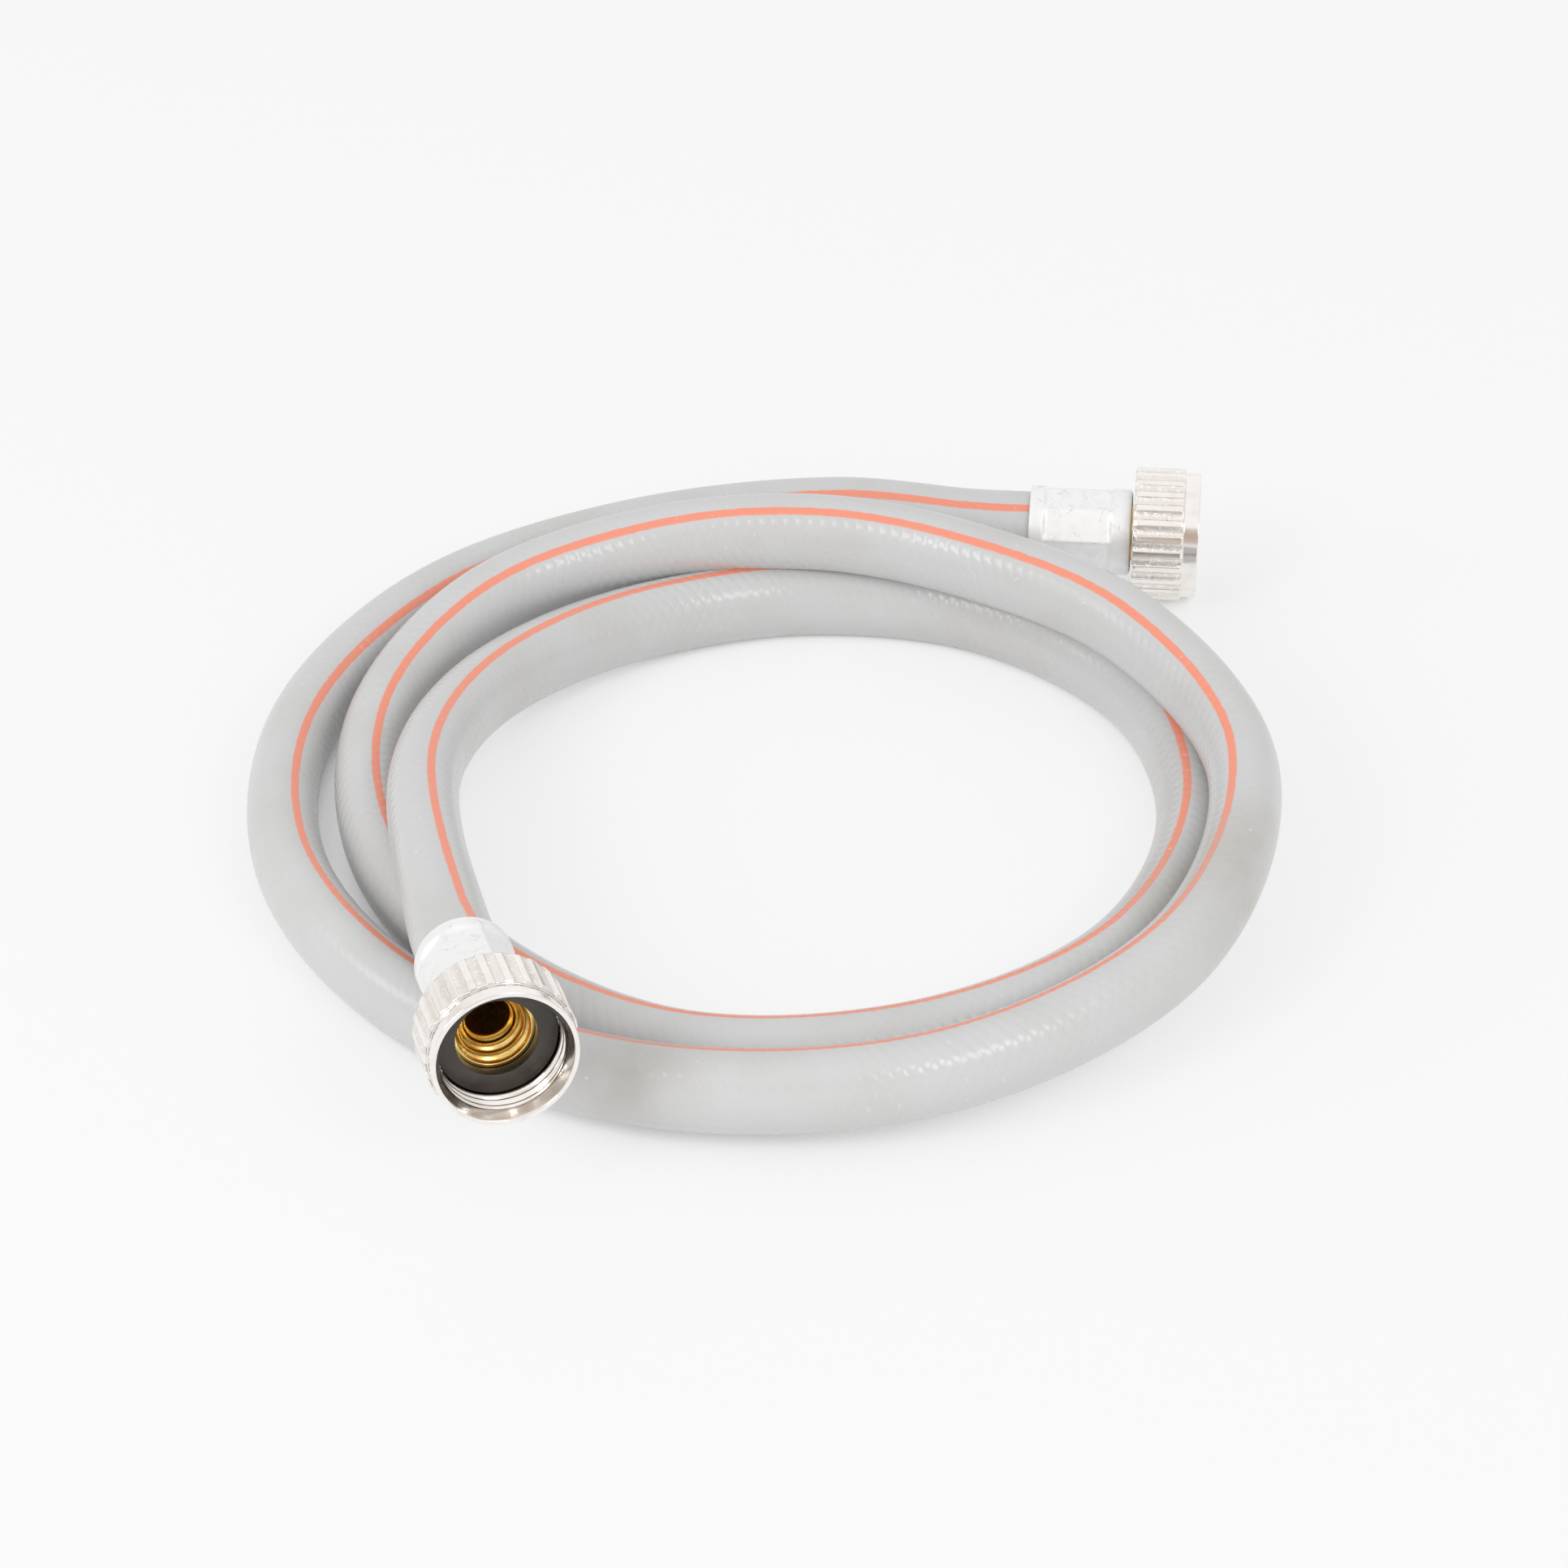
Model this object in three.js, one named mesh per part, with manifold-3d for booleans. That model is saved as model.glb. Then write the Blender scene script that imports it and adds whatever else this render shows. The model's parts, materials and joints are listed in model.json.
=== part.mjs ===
// Inlet hose: a flexible hose that lies in a loose coil, with a swivelling union nut on a crimped
// tail piece at each end. Millimetres, +Z up, z = 0 is the surface that the hose lies on, and the
// origin is below the middle of the box round the two couplings.
import * as THREE from "three";
import { mergeVertices } from "three/addons/utils/BufferGeometryUtils.js";
import Module from "manifold-3d";

const wasm = await Module();
wasm.setup();

// General
const CLEARANCE = 0.3;
const ROUND_SIDES = 36;
const SMALL_SIDES = 20;

// Hose, a little taller than wide where the coil bends it
const HOSE_WIDTH = 15.6;
const HOSE_HEIGHT = 17.4;
const HOSE_BORE = 11;
const HOSE_SIDES = 12;
const HOSE_STEPS = 78;
const HOSE_STRAIGHT = 14;

// Union nut with a three-quarter inch hose thread
const NUT_LENGTH = 15.5;
const KNURL_DIAMETER = 31.2;
const LIP_DIAMETER = 29.6;
const LIP_LENGTH = 3.6;
const LIP_CHAMFER = 0.2;
const KNURL_CHAMFER = 0.8;
const NUT_WALL = 2.2;
const FLUTES = 26;
const FLUTE_DEPTH = 0.65;
const FLUTE_WIDTH = 2.4;
const THREAD_MINOR = 25.2;
const THREAD_MAJOR = 27.1;
const THREAD_PITCH = 2.209;
const THREAD_STEPS = 12;
const MOUTH_CHAMFER = 0.3;

// Rubber washer
const WASHER_THICKNESS = 2.8;
const WASHER_BORE = 16.6;

// Brass tail piece
const FLANGE_DIAMETER = 22.6;
const FLANGE_THICKNESS = 1.6;
const NECK_DIAMETER = 18;
const STEM_DIAMETER = 13.2;
const THROAT_DIAMETERS = [15, 12.6, 10.2];
const THROAT_STEP = 1.9;
const WATERWAY_DIAMETER = 8.4;
const TAIL_LENGTH = 20;
const BARBS = 3;
const BARB_DEPTH = 0.5;

// Aluminium ferrule, crimped to eight flats
const FERRULE_DIAMETER = 20.4;
const FERRULE_LENGTH = 24.2;
const FERRULE_FRONT_WALL = 1.2;
const FERRULE_SHOULDER = 4.8;
const FERRULE_RIM = 3.8;
const FERRULE_EDGE = 1.4;
const CRIMP_FLATS = 8;
const CRIMP_DEPTH = 0.5;
const NUT_PLAY = 0.4;

// Lie of the two couplings: the mouth's place, its heading from +X, how far it points up and how
// far the coupling is rolled round its own axis, in degrees
const FAR_MOUTH = { x: 86, y: 100.6, heading: -5.9, pitch: 0.8, roll: 6 };
const NEAR_MOUTH = { x: -66.3, y: -113.8, z: 38.5, heading: -74, pitch: 9.8, roll: 3.4 };

// Middle of the hose between the couplings, from the far one to the near one: x, y and how far
// the hose is lifted off the surface there. Twelve points make one turn.
const HOSE_ROUTE = [
  [-1, 110, 7],
  [-50.5, 106.5, 2.5],
  [-94.5, 81, 1.3],
  [-121, 34.5, 0.2],
  [-118, -20.5, 0.8],
  [-86.5, -66, 1],
  [-37, -93, 4.5],
  [21.5, -90.5, 7],
  [70, -57, 11],
  [87, -2, 15.5],
  [65.5, 46.5, 18.5],
  [30.5, 73.5, 18.5],
  [-5, 86, 18],
  [-43.5, 87.5, 13.5],
  [-81, 69.5, 9.5],
  [-102.5, 31, 5],
  [-99.5, -13.5, 2],
  [-74.5, -52, 0.3],
  [-34, -77.5, 0.3],
  [16, -75.5, 1.3],
  [58, -47.5, 0.5],
  [77, -0.5, 0.1],
  [67.5, 47, 0.1],
  [34, 77.5, 0.2],
  [-5.5, 85, 0.1],
  [-39, 76.5, 1],
  [-65, 56.5, 5],
  [-83, 27.5, 11],
  [-90, -10, 17.5],
];

// Places along a coupling, measured back from the nut's mouth
const nutBackInside = NUT_LENGTH - NUT_WALL;
const flangeBack = nutBackInside - CLEARANCE;
const flangeFront = flangeBack - FLANGE_THICKNESS;
const washerBack = flangeFront - CLEARANCE;
const washerFront = washerBack - WASHER_THICKNESS;
const ferruleFront = NUT_LENGTH + NUT_PLAY;
const neckBack = ferruleFront - CLEARANCE;
const ferruleFrontInside = ferruleFront + FERRULE_FRONT_WALL;
const hoseEnd = ferruleFrontInside + CLEARANCE;
const ferruleBack = ferruleFront + FERRULE_LENGTH;
const ferruleBore = HOSE_HEIGHT + 2 * CLEARANCE;
const tailDiameter = HOSE_BORE - 2 * CLEARANCE;

const radians = THREE.MathUtils.degToRad;

// The nut lies on the surface on the back edge of its knurl
const farMouthHeight =
  (KNURL_DIAMETER / 2) * Math.cos(radians(FAR_MOUTH.pitch)) +
  NUT_LENGTH * Math.sin(radians(FAR_MOUTH.pitch));

const farCoupling = placed(FAR_MOUTH, farMouthHeight);
const nearCoupling = placed(NEAR_MOUTH, NEAR_MOUTH.z);

function placed(mouth, z) {
  const heading = radians(mouth.heading);
  const pitch = radians(mouth.pitch);
  const axis = new THREE.Vector3(
    Math.cos(heading) * Math.cos(pitch),
    Math.sin(heading) * Math.cos(pitch),
    Math.sin(pitch),
  );
  return { mouth: new THREE.Vector3(mouth.x, mouth.y, z), axis, roll: radians(mouth.roll) };
}

function material(color, metalness, roughness) {
  return new THREE.MeshStandardMaterial({ color, metalness, roughness });
}

// A closed geometry as a solid, for joins and cuts
function solid(geometry) {
  const plain = geometry.clone();
  plain.deleteAttribute("normal");
  plain.deleteAttribute("uv");
  const merged = mergeVertices(plain, 1e-4);
  const triangles = [];
  for (let i = 0; i < merged.index.count; i += 3) {
    const [a, b, c] = [0, 1, 2].map((corner) => merged.index.getX(i + corner));
    if (a !== b && b !== c && c !== a) triangles.push(a, b, c);
  }
  return new wasm.Manifold(
    new wasm.Mesh({
      numProp: 3,
      vertProperties: new Float32Array(merged.attributes.position.array),
      triVerts: new Uint32Array(triangles),
    }),
  );
}

function geometryOf(result) {
  const mesh = result.getMesh();
  const geometry = new THREE.BufferGeometry();
  geometry.setAttribute("position", new THREE.BufferAttribute(mesh.vertProperties, 3));
  geometry.setIndex(new THREE.BufferAttribute(mesh.triVerts, 1));
  geometry.computeVertexNormals();
  return geometry;
}

// A turned shape round the coupling's axis, which points out of the mouth along +Z. The section
// is a list of diameters and distances back from the mouth. It runs outward along the front, back
// along the outside, and closes on itself or on the axis.
function turned(section, sides = ROUND_SIDES) {
  const points = section.map(([diameter, back]) => new THREE.Vector2(diameter / 2, -back));
  if (points[0].x > 0) points.push(points[0].clone());
  return new THREE.LatheGeometry(points.reverse(), sides).rotateX(Math.PI / 2);
}

// A circle with shallow round grooves
function flutedOutline() {
  const halfAngle = FLUTE_WIDTH / KNURL_DIAMETER;
  const points = [];
  for (let flute = 0; flute < FLUTES; flute += 1) {
    for (const place of [-1, -0.55, 0, 0.55, 1]) {
      const angle = (flute / FLUTES) * 2 * Math.PI + place * halfAngle;
      const radius = KNURL_DIAMETER / 2 - FLUTE_DEPTH * (1 - place * place);
      points.push(new THREE.Vector2(radius * Math.cos(angle), radius * Math.sin(angle)));
    }
  }
  return new THREE.Shape(points);
}

// The right-hand thread groove: a triangle that winds from outside the mouth to the washer
function threadGroove() {
  const from = -THREAD_PITCH / 2;
  const to = washerFront - THREAD_PITCH / 2;
  const steps = Math.round(((to - from) / THREAD_PITCH) * THREAD_STEPS);
  const halfWidth = THREAD_PITCH * 0.42;
  const corners = [
    [THREAD_MAJOR / 2, 0],
    [THREAD_MINOR / 2 - CLEARANCE, halfWidth],
    [THREAD_MINOR / 2 - CLEARANCE, -halfWidth],
  ];
  const positions = [];
  for (let step = 0; step <= steps; step += 1) {
    const back = from + ((to - from) * step) / steps;
    const angle = (-back / THREAD_PITCH) * 2 * Math.PI;
    for (const [radius, rise] of corners) {
      positions.push(radius * Math.cos(angle), radius * Math.sin(angle), rise - back);
    }
  }
  const index = [0, 2, 1, 3 * steps, 3 * steps + 1, 3 * steps + 2];
  for (let step = 0; step < steps; step += 1) {
    for (let side = 0; side < 3; side += 1) {
      const here = 3 * step + side;
      const next = 3 * step + ((side + 1) % 3);
      index.push(here, next, here + 3, next, next + 3, here + 3);
    }
  }
  const geometry = new THREE.BufferGeometry();
  geometry.setAttribute("position", new THREE.Float32BufferAttribute(positions, 3));
  geometry.setIndex(index);
  return geometry;
}

// A fluted knurl behind a plain lip, threaded inside, with a hole for the neck in its back wall
function nutGeometry() {
  const knurl = new THREE.ExtrudeGeometry(flutedOutline(), {
    depth: NUT_LENGTH - LIP_LENGTH,
    bevelEnabled: false,
  }).translate(0, 0, -NUT_LENGTH);
  const lip = turned([[0, 0], [LIP_DIAMETER, 0], [LIP_DIAMETER, LIP_LENGTH + 1], [0, LIP_LENGTH + 1]]);
  const outside = KNURL_DIAMETER + 2 * KNURL_CHAMFER;
  const blank = turned([
    [0, 0],
    [LIP_DIAMETER - 2 * LIP_CHAMFER, 0],
    [LIP_DIAMETER + 2 * LIP_CHAMFER, 2 * LIP_CHAMFER],
    [LIP_DIAMETER + 2 * LIP_CHAMFER, LIP_LENGTH],
    [KNURL_DIAMETER - LIP_CHAMFER, LIP_LENGTH],
    [outside, LIP_LENGTH + KNURL_CHAMFER],
    [outside, NUT_LENGTH - 2 * KNURL_CHAMFER],
    [KNURL_DIAMETER - 2 * KNURL_CHAMFER, NUT_LENGTH],
    [0, NUT_LENGTH],
  ]);
  const neckHole = NECK_DIAMETER + 2 * CLEARANCE;
  const mouth = THREAD_MAJOR + 2 * MOUTH_CHAMFER;
  const hollow = turned([
    [0, -1],
    [mouth, -1],
    [mouth, 0],
    [THREAD_MINOR, (mouth - THREAD_MINOR) / 2],
    [THREAD_MINOR, nutBackInside],
    [neckHole, nutBackInside],
    [neckHole, NUT_LENGTH + 1],
    [0, NUT_LENGTH + 1],
  ]);
  const body = solid(knurl).add(solid(lip)).intersect(solid(blank));
  return geometryOf(body.subtract(solid(hollow)).subtract(solid(threadGroove())));
}

function washerGeometry() {
  const outside = THREAD_MINOR - 2 * CLEARANCE;
  return turned([
    [WASHER_BORE, washerFront],
    [outside, washerFront],
    [outside, washerBack],
    [WASHER_BORE, washerBack],
  ]);
}

// Flange, neck, stem and barbed tail outside, a stepped throat and the waterway inside
function insertGeometry() {
  const root = tailDiameter - 2 * BARB_DEPTH;
  const tailEnd = hoseEnd + TAIL_LENGTH;
  const section = [
    [THROAT_DIAMETERS[0], flangeFront],
    [FLANGE_DIAMETER, flangeFront],
    [FLANGE_DIAMETER, flangeBack],
    [NECK_DIAMETER, flangeBack],
    [NECK_DIAMETER, neckBack],
    [STEM_DIAMETER, neckBack],
    [STEM_DIAMETER, ferruleFrontInside],
    [root, ferruleFrontInside],
  ];
  for (let barb = 0; barb < BARBS; barb += 1) {
    const front = hoseEnd + (TAIL_LENGTH * (barb + 0.2)) / BARBS;
    section.push([root, front], [tailDiameter, front]);
  }
  section.push([root, tailEnd], [WATERWAY_DIAMETER, tailEnd]);
  for (let step = THROAT_DIAMETERS.length; step > 0; step -= 1) {
    const inner = THROAT_DIAMETERS[step] ?? WATERWAY_DIAMETER;
    section.push([inner, flangeFront + step * THROAT_STEP]);
    section.push([THROAT_DIAMETERS[step - 1], flangeFront + (step - 0.4) * THROAT_STEP]);
  }
  return turned(section, SMALL_SIDES);
}

// A cup over the hose end: a round shoulder, eight crimped flats and a round rim
function ferruleGeometry() {
  const crimpFront = ferruleFront + FERRULE_SHOULDER;
  const crimpLength = FERRULE_LENGTH - FERRULE_SHOULDER - FERRULE_RIM;
  const stemHole = STEM_DIAMETER + 2 * CLEARANCE;
  const cup = turned([
    [stemHole, ferruleFront],
    [FERRULE_DIAMETER - 2 * FERRULE_EDGE, ferruleFront],
    [FERRULE_DIAMETER - 0.6 * FERRULE_EDGE, ferruleFront + 0.3 * FERRULE_EDGE],
    [FERRULE_DIAMETER, ferruleFront + FERRULE_EDGE],
    [FERRULE_DIAMETER, ferruleBack],
    [ferruleBore, ferruleBack],
    [ferruleBore, ferruleFrontInside],
    [stemHole, ferruleFrontInside],
  ]);
  const across = FERRULE_DIAMETER - 2 * CRIMP_DEPTH;
  const flats = new THREE.CylinderGeometry(
    across / 2 / Math.cos(Math.PI / CRIMP_FLATS),
    across / 2 / Math.cos(Math.PI / CRIMP_FLATS),
    crimpLength,
    CRIMP_FLATS,
  );
  flats.rotateX(Math.PI / 2).rotateZ(Math.PI / CRIMP_FLATS);
  flats.translate(0, 0, -crimpFront - crimpLength / 2);
  const ring = turned([
    [0, crimpFront],
    [FERRULE_DIAMETER + 2, crimpFront],
    [FERRULE_DIAMETER + 2, crimpFront + crimpLength],
    [0, crimpFront + crimpLength],
  ]);
  return geometryOf(solid(cup).subtract(solid(ring).subtract(solid(flats))));
}

// The hose's middle line, straight inside each coupling and just behind it
function hoseLine() {
  const along = (coupling, back) => coupling.mouth.clone().addScaledVector(coupling.axis, -back);
  const seats = [hoseEnd, ferruleBack, ferruleBack + HOSE_STRAIGHT];
  const free = HOSE_ROUTE.map(([x, y, lift]) => new THREE.Vector3(x, y, HOSE_HEIGHT / 2 + lift));
  const points = [
    ...seats.map((back) => along(farCoupling, back)),
    ...free,
    ...seats.map((back) => along(nearCoupling, back)).reverse(),
  ];
  return new THREE.CatmullRomCurve3(points, false, "centripetal");
}

function hoseGeometry() {
  const section = new THREE.Shape();
  section.absellipse(0, 0, HOSE_HEIGHT / 2, HOSE_WIDTH / 2, 0, 2 * Math.PI);
  const bore = new THREE.Path();
  bore.absellipse(0, 0, HOSE_BORE / 2, HOSE_BORE / 2, 0, 2 * Math.PI, true);
  section.holes.push(bore);
  return new THREE.ExtrudeGeometry(section, {
    steps: HOSE_STEPS,
    curveSegments: HOSE_SIDES / 2,
    extrudePath: hoseLine(),
  });
}

function named(name, geometry, finish) {
  const mesh = new THREE.Mesh(geometry, finish);
  mesh.name = name;
  return mesh;
}

// One coupling on its axis: its own x points level and its own y up before the roll
function couplingGroup(end, { mouth, axis, roll }) {
  const level = new THREE.Vector3(0, 0, 1).cross(axis).normalize();
  const up = axis.clone().cross(level);
  const group = new THREE.Group();
  group.quaternion.setFromRotationMatrix(new THREE.Matrix4().makeBasis(level, up, axis));
  group.rotateZ(roll);
  group.position.copy(mouth);
  group.add(
    named(`${end}_ferrule`, ferruleGeometry(), material(0xd9dde0, 1, 0.38)),
    named(`${end}_insert`, insertGeometry(), material(0xc79a3e, 1, 0.3)),
    named(`${end}_nut`, nutGeometry(), material(0xcfc4b6, 1, 0.25)),
    named(`${end}_washer`, washerGeometry(), material(0x1c1b1a, 0, 0.75)),
  );
  return group;
}

const hose = new THREE.Group();
hose.add(
  named("hose", hoseGeometry(), material(0xb9bab9, 0, 0.35)),
  couplingGroup("far", farCoupling),
  couplingGroup("near", nearCoupling),
);

export default hose;
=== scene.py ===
# %% [markdown]
# # An inlet hose, dressed in Blender
#
# The object is a grey reinforced water hose, one and a half metres long, that lies on a table
# in a loose coil. Each end has a crimped sleeve and a union nut that turns on it. The solids
# and their joints come packed as a fixed frame. This lesson makes each visible piece again,
# in the place that its solid has, with finer edges and the finish of the real thing.

# %% Load the frame
import json
import math

import bpy
import numpy as np
from mathutils import Matrix, Vector


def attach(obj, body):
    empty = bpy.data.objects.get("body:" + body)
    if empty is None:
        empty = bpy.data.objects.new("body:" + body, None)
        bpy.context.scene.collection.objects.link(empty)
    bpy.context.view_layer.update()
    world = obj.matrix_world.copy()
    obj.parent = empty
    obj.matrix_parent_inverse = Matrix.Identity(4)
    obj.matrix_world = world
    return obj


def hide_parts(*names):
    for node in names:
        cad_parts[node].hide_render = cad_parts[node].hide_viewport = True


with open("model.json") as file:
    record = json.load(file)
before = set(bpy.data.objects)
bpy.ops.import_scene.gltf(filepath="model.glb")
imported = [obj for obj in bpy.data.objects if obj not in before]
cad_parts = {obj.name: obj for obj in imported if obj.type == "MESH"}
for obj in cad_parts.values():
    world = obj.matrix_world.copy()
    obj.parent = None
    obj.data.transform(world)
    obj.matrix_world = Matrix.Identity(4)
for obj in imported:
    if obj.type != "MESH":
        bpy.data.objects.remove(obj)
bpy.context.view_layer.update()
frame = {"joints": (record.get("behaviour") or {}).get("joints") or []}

# %% [markdown]
# ## The camera
#
# A product picture like this one is taken from a tripod with a long lens, which keeps the
# coil's shape calm. The camera could be aimed by eye, but a real camera is described better by
# three facts: where it stands, how far it looks down, and its lens. The picture is square, so
# the sensor's width sets both sides of the view.

# %% Camera
CAMERA_PLACE = (-0.0125, -0.72285, 0.5725)
CAMERA_LOOKS_DOWN = math.radians(37.466)
LENS_MM = 95.85
SENSOR_MM = 36

camera_data = bpy.data.cameras.new("tripod_camera")
camera_data.lens = LENS_MM
camera_data.sensor_width = SENSOR_MM
camera = bpy.data.objects.new("tripod_camera", camera_data)
camera.location = CAMERA_PLACE
camera.rotation_euler = (math.pi / 2 - CAMERA_LOOKS_DOWN, 0, 0)
bpy.context.scene.collection.objects.link(camera)
bpy.context.scene.camera = camera
print("the camera sees", round(math.degrees(2 * math.atan(SENSOR_MM / 2 / LENS_MM)), 1), "degrees")

# %% [markdown]
# ## Where the two couplings lie
#
# A coupling is everything on one end of the hose that shares one axis: nut, washer, tail piece
# and sleeve. The frame's joints already say where each nut turns and round which axis, so the
# couplings are placed from them and nothing is measured twice. Inside a coupling the Z axis
# points out of the mouth, and all distances are counted back from the mouth.

# %% Place of each coupling
NUT_LENGTH = 0.0155
ROLL = {"far": math.radians(6), "near": math.radians(3.4)}
ENDS = ("far", "near")


def coupling_place(end):
    """The matrix that puts a piece made round the Z axis, with its mouth at zero, on the hose."""
    swivel = next(joint for joint in frame["joints"] if joint["name"] == f"{end}_nut_swivel")
    axis = Vector(swivel["axis"]).normalized()
    mouth = Vector(swivel["pos_m"]) + axis * NUT_LENGTH / 2
    level = Vector((0, 0, 1)).cross(axis).normalized()
    lie = Matrix((level, axis.cross(level), axis)).transposed().to_4x4()
    return Matrix.Translation(mouth) @ lie @ Matrix.Rotation(ROLL[end], 4, "Z")


places = {end: coupling_place(end) for end in ENDS}
for end in ENDS:
    print(end, "mouth is at", [round(x, 4) for x in places[end].translation])

# %% [markdown]
# ## The line that the hose follows
#
# A hose that was rolled up in its packet keeps a springy, uneven coil, so no circle or helix
# fits it. Its middle line is a list of given places, each with how far the hose is
# lifted off the table there, and the hose passes straight through each sleeve. A centripetal
# Catmull-Rom curve goes through all the points and never overshoots between close ones, which
# a plain spline would do where the strands cross.

# %% Points along the hose
HOSE_ROUND = 0.0174
HOSE_END_BACK = 0.0174
SLEEVE_END_BACK = 0.0401
STRAIGHT_BEHIND_SLEEVE = 0.014
COIL = [
    (-0.001, 0.110, 0.007), (-0.0505, 0.1065, 0.0025), (-0.0945, 0.081, 0.0013),
    (-0.121, 0.0345, 0.0002), (-0.118, -0.0205, 0.0008), (-0.0865, -0.066, 0.001),
    (-0.037, -0.093, 0.0045), (0.0215, -0.0905, 0.007), (0.070, -0.057, 0.011),
    (0.087, -0.002, 0.0155), (0.0655, 0.0465, 0.0185), (0.0305, 0.0735, 0.0185),
    (-0.005, 0.086, 0.018), (-0.0435, 0.0875, 0.0135), (-0.081, 0.0695, 0.0095),
    (-0.1025, 0.031, 0.005), (-0.0995, -0.0135, 0.002), (-0.0745, -0.052, 0.0003),
    (-0.034, -0.0775, 0.0003), (0.016, -0.0755, 0.0013), (0.058, -0.0475, 0.0005),
    (0.077, -0.0005, 0.0001), (0.0675, 0.047, 0.0001), (0.034, 0.0775, 0.0002),
    (-0.0055, 0.085, 0.0001), (-0.039, 0.0765, 0.001), (-0.065, 0.0565, 0.005),
    (-0.083, 0.0275, 0.011), (-0.090, -0.010, 0.0175),
]
seats = [HOSE_END_BACK, SLEEVE_END_BACK, SLEEVE_END_BACK + STRAIGHT_BEHIND_SLEEVE]
knots = [places["far"] @ Vector((0, 0, -back)) for back in seats]
knots += [Vector((x, y, HOSE_ROUND / 2 + lift)) for x, y, lift in COIL]
knots += [places["near"] @ Vector((0, 0, -back)) for back in reversed(seats)]
print(len(knots), "points carry the hose")

# %% Curve through the points
STEPS_BETWEEN_POINTS = 40
RING_SPACING = 0.003


def curve_through(points):
    """A centripetal Catmull-Rom curve through the points, as many short straight steps."""
    points = np.array(points)
    ends = [2 * points[0] - points[1], 2 * points[-1] - points[-2]]
    points = np.vstack([ends[0], points, ends[1]])
    gaps = np.sqrt(np.linalg.norm(np.diff(points, axis=0), axis=1))
    t = np.linspace(0, 1, STEPS_BETWEEN_POINTS, endpoint=False)[:, None]
    stretches = []
    for k in range(1, len(points) - 2):
        before, start, stop, after = points[k - 1 : k + 3]
        a, b, c = gaps[k - 1 : k + 2]
        leaving = b * ((start - before) / a - (stop - before) / (a + b) + (stop - start) / b)
        arriving = b * ((stop - start) / b - (after - start) / (b + c) + (after - stop) / c)
        stretches.append(
            start * (2 * t**3 - 3 * t**2 + 1)
            + leaving * (t**3 - 2 * t**2 + t)
            + stop * (3 * t**2 - 2 * t**3)
            + arriving * (t**3 - t**2)
        )
    return np.vstack([*stretches, points[-2]])


def evenly_spaced(line, spacing):
    """The same line with its points one spacing apart, and each point's distance along it."""
    distance = np.concatenate([[0], np.cumsum(np.linalg.norm(np.diff(line, axis=0), axis=1))])
    even = np.linspace(0, distance[-1], round(distance[-1] / spacing) + 1)
    return np.stack([np.interp(even, distance, line[:, k]) for k in range(3)], axis=1), even


hose_line, along_hose = evenly_spaced(curve_through(knots), RING_SPACING)
hose_length = float(along_hose[-1])
print("the hose is", round(hose_length, 3), "m long, with", len(hose_line), "rings")

# %% [markdown]
# ## A helper that skins a grid of points
#
# Every piece here is some kind of tube: rows of points that go round, stacked along a path or
# round an axis. One helper turns such a grid into a closed mesh and writes a UV for each
# corner, so that the seam where a ring closes doesn't smear a pattern. Mesh code is used in
# place of a bevelled curve or a Screw modifier because the rings change shape on the way.

# %% Grid to mesh
def skin_grid(name, grid, across, around):
    """A closed mesh over rows and columns of points. across is a U per row, around a V per column."""
    rows, columns = grid.shape[:2]
    row, column = np.meshgrid(np.arange(rows), np.arange(columns), indexing="ij")
    steps = [(0, 0), (0, 1), (1, 1), (1, 0)]
    faces = [((row + r) % rows) * columns + (column + c) % columns for r, c in steps]
    mesh = bpy.data.meshes.new(name)
    mesh.from_pydata(grid.reshape(-1, 3), [], np.stack(faces, axis=-1).reshape(-1, 4).tolist())
    map_layer = mesh.uv_layers.new(name="UVMap")
    corners = [np.stack([across[row + r], around[column + c]], axis=-1) for r, c in steps]
    map_layer.uv.foreach_set("vector", np.stack(corners, axis=2).astype(np.float32).ravel())
    mesh.shade_smooth()
    piece = bpy.data.objects.new(name, mesh)
    bpy.context.scene.collection.objects.link(piece)
    print(name, "has", rows * columns, "four-sided faces")
    return piece


# %% [markdown]
# ## The hose body
#
# The hose is a tube of soft plastic. Where the coil bends it, the section gives and turns
# slightly oval, taller than wide, while the sleeves hold it round. So each ring is an ellipse
# whose two diameters change along the way, and where it lies on the table it is pressed flat.
# The bore is part of the same closed mesh: the rings run along the outside and come back along
# the inside.
#
# The coloured stripe was pressed into the skin when the hose was made, so it shows how much the
# hose is twisted. Each ring therefore starts at the stripe, and the stripe's lean from the
# top, towards the inside of the coil, is listed every hand's breadth or so.

# %% Rings of the hose
HOSE_COLUMNS = 48
HOSE_WIDTH = 0.0156
HOSE_HEIGHT = 0.0186
HOSE_BORE = 0.011
TABLE_GAP = 0.0001
ROUND_UNTIL = 0.026
OVAL_FROM = 0.07
STRIPE_LEAN = [
    (0.0, 24), (0.05, 24), (0.10, 32), (0.20, 36), (0.30, 18), (0.45, 21), (0.60, 26),
    (0.78, 30), (0.87, 10), (0.95, 8), (0.98, 22), (1.07, 15), (1.15, 10), (1.30, -2),
    (1.38, 18), (1.44, 16), (1.49, 26),
]
LEAN_BLEND = 9


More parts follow.
